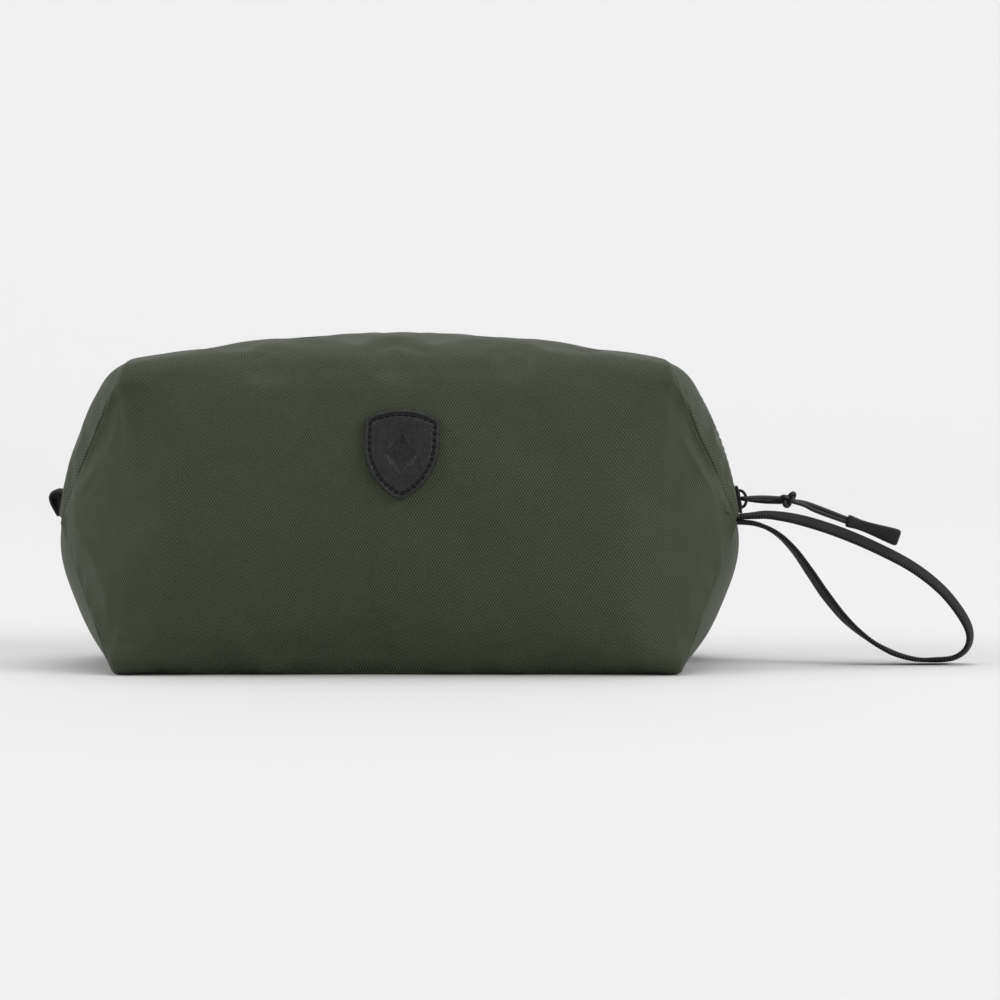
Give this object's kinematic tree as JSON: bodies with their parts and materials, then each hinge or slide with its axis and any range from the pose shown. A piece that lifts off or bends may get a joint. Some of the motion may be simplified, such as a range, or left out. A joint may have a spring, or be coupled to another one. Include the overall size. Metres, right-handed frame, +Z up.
{
  "type": "zipped wash bag",
  "caption": "Soft zipped wash bag in dark green coated cloth, box-shaped with tapered ends, with a leather patch, a cord zip pull and a flat wrist strap.",
  "frame": {"origin": "middle of the flat base, on the surface that the bag stands on", "axes": "+Z up, +X towards the end with the wrist strap and the closed zip's slider, -Y towards the front face with the patch"},
  "size_m": [0.37, 0.1247, 0.1322],
  "materials": {
    "coated_cloth": "dark green coated honeycomb weave, soft satin",
    "foam": "closed-cell foam, matte",
    "lining": "thin black lining cloth",
    "binding": "black seam binding tape",
    "zip_tape": "black woven zip tape",
    "zip_coil": "black nylon coil",
    "thread": "dark sewing thread",
    "black_metal": "black plated cast metal, semi-gloss",
    "cord": "black waxed round cord",
    "grip": "moulded matte rubber",
    "webbing": "black ribbed flat webbing",
    "leather": "black pressed leather, semi-gloss"
  },
  "bodies": {
    "bag": {"front_shell": "coated_cloth", "back_shell": "coated_cloth", "base_shell": "coated_cloth", "front_foam": "foam", "back_foam": "foam", "base_foam": "foam", "front_lining": "lining", "back_lining": "lining", "base_lining": "lining", "corner_bindings": "binding", "end_bindings": "binding", "end_tab": "binding", "zip_tape_front": "zip_tape", "zip_tape_back": "zip_tape", "zip_coil_front": "zip_coil", "zip_coil_back": "zip_coil", "zip_stitching_front": "thread", "zip_stitching_back": "thread", "patch_stitching": "thread", "wrist_strap": "webbing", "shield_patch": "leather"},
    "slider": {"slider_body": "black_metal", "slider_crown": "black_metal"},
    "pull": {"pull_cord": "cord", "pull_knot": "cord"},
    "pull_tip": {"pull_tail": "cord", "pull_end": "grip"}
  },
  "joints": [
    {"name": "zip_travel", "type": "hinge", "parent": "bag", "child": "slider", "pos_m": [0.00571, 0, 0.04441], "axis": [0, -1, 0], "range_deg": [0, 18]},
    {"name": "pull_swing", "type": "hinge", "parent": "slider", "child": "pull", "pos_m": [0.13705, 0, 0.066], "axis": [0, -1, 0], "range_deg": [0, 80]},
    {"name": "pull_flex", "type": "hinge", "parent": "pull", "child": "pull_tip", "pos_m": [0.1548, 0, 0.0652], "axis": [0, -1, 0], "range_deg": [-45, 25]}
  ]
}
